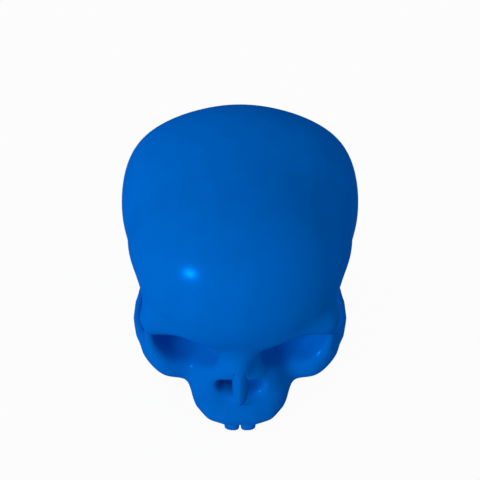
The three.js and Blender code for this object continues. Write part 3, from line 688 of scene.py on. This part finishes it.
def rounded_piece(work, name, node):
    """A bar or crown with its rings drawn into one smooth surface."""
    crease = work.edges.layers.float.new("crease_edge")
    for edge in work.edges:
        if edge.is_manifold and edge.calc_face_angle() > CREASE_ANGLE:
            edge[crease] = CREASE
    piece = finish_piece(work, name, node, [tooth_blue])
    rounding = piece.modifiers.new("rounding", "SUBSURF")
    rounding.levels = rounding.render_levels = ROUNDING_LEVELS


work = four_sided_copy("nasal_septum")
pushes = [vertex.normal * SEAT_PLAY for vertex in work.verts]
for vertex, push in zip(work.verts, pushes):
    vertex.co += push
    if push.normalized().y < -RIDGE_FACING:
        vertex.co.x *= RIDGE_NARROWING
        vertex.co.y -= RIDGE_RISE
    vertex.co.x *= np.interp(vertex.co.z, SEPTUM_HEIGHTS, SEPTUM_FULLNESS)
rounded_piece(work, "nasal_septum_bar", "nasal_septum")


# Upper teeth: seven on each side, moulded one by one, with a peg pressed into a socket of the jaw until the
# crown meets the gum. The chewing teeth have cusps round a groove, and the two front ones lean out under the
# lip.
CROWN_HEIGHT, GUM_HEIGHT = 0.0085, 0.0089
CROWN_FULLNESS = 1.13
FRONT_LEAN = 0.24
RING_GAP = 1e-5
CUSP_DEPTH, GROOVE_DEPTH = 0.0011, 0.0008
GROOVE_INSETS = {
    "central_incisor": 0,
    "lateral_incisor": 0,
    "canine": 0,
    "first_premolar": 0.0018,
    "second_premolar": 0.002,
    "first_molar": 0.0026,
    "second_molar": 0.0024,
}
for side in ("left", "right"):
    for kind, groove_inset in GROOVE_INSETS.items():
        work = four_sided_copy(f"{kind}_{side}")
        edge_top = min(vertex.co.z for vertex in work.verts) + RING_GAP
        biting = [face for face in work.faces if all(vertex.co.z < edge_top for vertex in face.verts)]
        biting = bmesh.ops.dissolve_faces(work, faces=biting)["region"]
        crown = [vertex for vertex in work.verts if vertex.co.z < CROWN_HEIGHT + RING_GAP]
        middle = sum((vertex.co for vertex in crown), Vector()) / len(crown)
        for vertex in crown:
            vertex.co.xy = middle.xy + (vertex.co - middle).xy * CROWN_FULLNESS
            if kind == "central_incisor":
                vertex.co.y -= FRONT_LEAN * (CROWN_HEIGHT - vertex.co.z)
            if abs(vertex.co.z - CROWN_HEIGHT) < RING_GAP:
                vertex.co.z = GUM_HEIGHT
        if groove_inset:
            cusps = list(biting[0].verts)
            middle = biting[0].calc_center_median()
            reaches = [(vertex.co - middle).length for vertex in cusps]
            bmesh.ops.inset_region(work, faces=biting, thickness=groove_inset, use_even_offset=True)
            for vertex in biting[0].verts:
                vertex.co.z += GROOVE_DEPTH
            for vertex, reach in zip(cusps, reaches):
                vertex.co.z += CUSP_DEPTH * (1 - (reach / max(reaches)) ** 2)
        rounded_piece(work, f"{kind}_{side}_crown", f"{kind}_{side}")


# Screws: four zinc plated countersunk screws, which hold the plate to both shells. A cross is pressed into each
# head, narrower towards its floor.
CROSS_WIDTH, CROSS_LENGTH, CROSS_DEPTH = 0.00075, 0.0034, 0.0011
CROSS_TAPER = 0.7
CUT_GAP = 1e-7
SPANGLE, PITS = (700, 3), (1500, 2)
DULL_ZINC, BRIGHT_ZINC = (0.42, 0.44, 0.46, 1), (0.62, 0.64, 0.66, 1)
ZINC_ROUGHNESS = (0.28, 0.45)
zinc = bpy.data.materials.new("zinc_plate")
zinc.use_nodes = True
tree = zinc.node_tree
shader = tree.nodes["Principled BSDF"]
where = tree.nodes.new("ShaderNodeTexCoord").outputs["Object"]
tone = add_mix(tree, add_noise(tree, *SPANGLE, where), DULL_ZINC, BRIGHT_ZINC)
tree.links.new(tone, shader.inputs["Base Color"])
rough = add_ramp(tree, add_noise(tree, *PITS, where), *MIDDLE_RANGE, *ZINC_ROUGHNESS)
tree.links.new(rough, shader.inputs["Roughness"])
shader.inputs["Metallic"].default_value = 1.0

for name in ("screw_front_left", "screw_front_right", "screw_rear_left", "screw_rear_right"):
    work = merged_copy(name)
    bmesh.ops.dissolve_limit(work, angle_limit=FLAT_BEND, verts=work.verts, edges=work.edges)
    head = min(work.faces, key=lambda face: face.calc_center_median().z)
    middle = head.calc_center_median()
    for across in (Vector((1, 0, 0)), Vector((0, 1, 0))):
        for reach in (-CROSS_LENGTH, -CROSS_WIDTH, CROSS_WIDTH, CROSS_LENGTH):
            level = {vertex for vertex in work.verts if abs(vertex.co.z - middle.z) < LEVEL_GAP}
            tops = [face for face in work.faces if level.issuperset(face.verts)]
            cut = list(dict.fromkeys(part for face in tops for part in (face, *face.edges, *face.verts)))
            place = middle + across * reach / 2
            bmesh.ops.bisect_plane(work, geom=cut, dist=CUT_GAP, plane_co=place, plane_no=across)
    cross = []
    for face in work.faces:
        off = face.calc_center_median() - middle
        near, far = sorted((abs(off.x), abs(off.y)))
        if abs(off.z) < LEVEL_GAP and near < CROSS_WIDTH / 2 and far < CROSS_LENGTH / 2:
            cross.append(face)
    pressed = bmesh.ops.extrude_face_region(work, geom=cross)["geom"]
    floor_points = [part for part in pressed if isinstance(part, bmesh.types.BMVert)]
    bmesh.ops.delete(work, geom=[face for face in cross if face.is_valid], context="FACES")
    for vertex in floor_points:
        vertex.co = middle + (vertex.co - middle) * CROSS_TAPER + Vector((0, 0, CROSS_DEPTH))
    bmesh.ops.recalc_face_normals(work, faces=work.faces)
    for edge in work.edges:
        edge.smooth = edge.is_manifold and edge.calc_face_angle() < RIM_BEND

    # The walls of the cross come in no fixed order, so the faces are put in one.
    for number, face in enumerate(sorted(work.faces, key=lambda face: tuple(face.calc_center_median()))):
        face.index = number
    work.faces.sort()
    finish_piece(work, f"{name}_cross_head", name, [zinc])
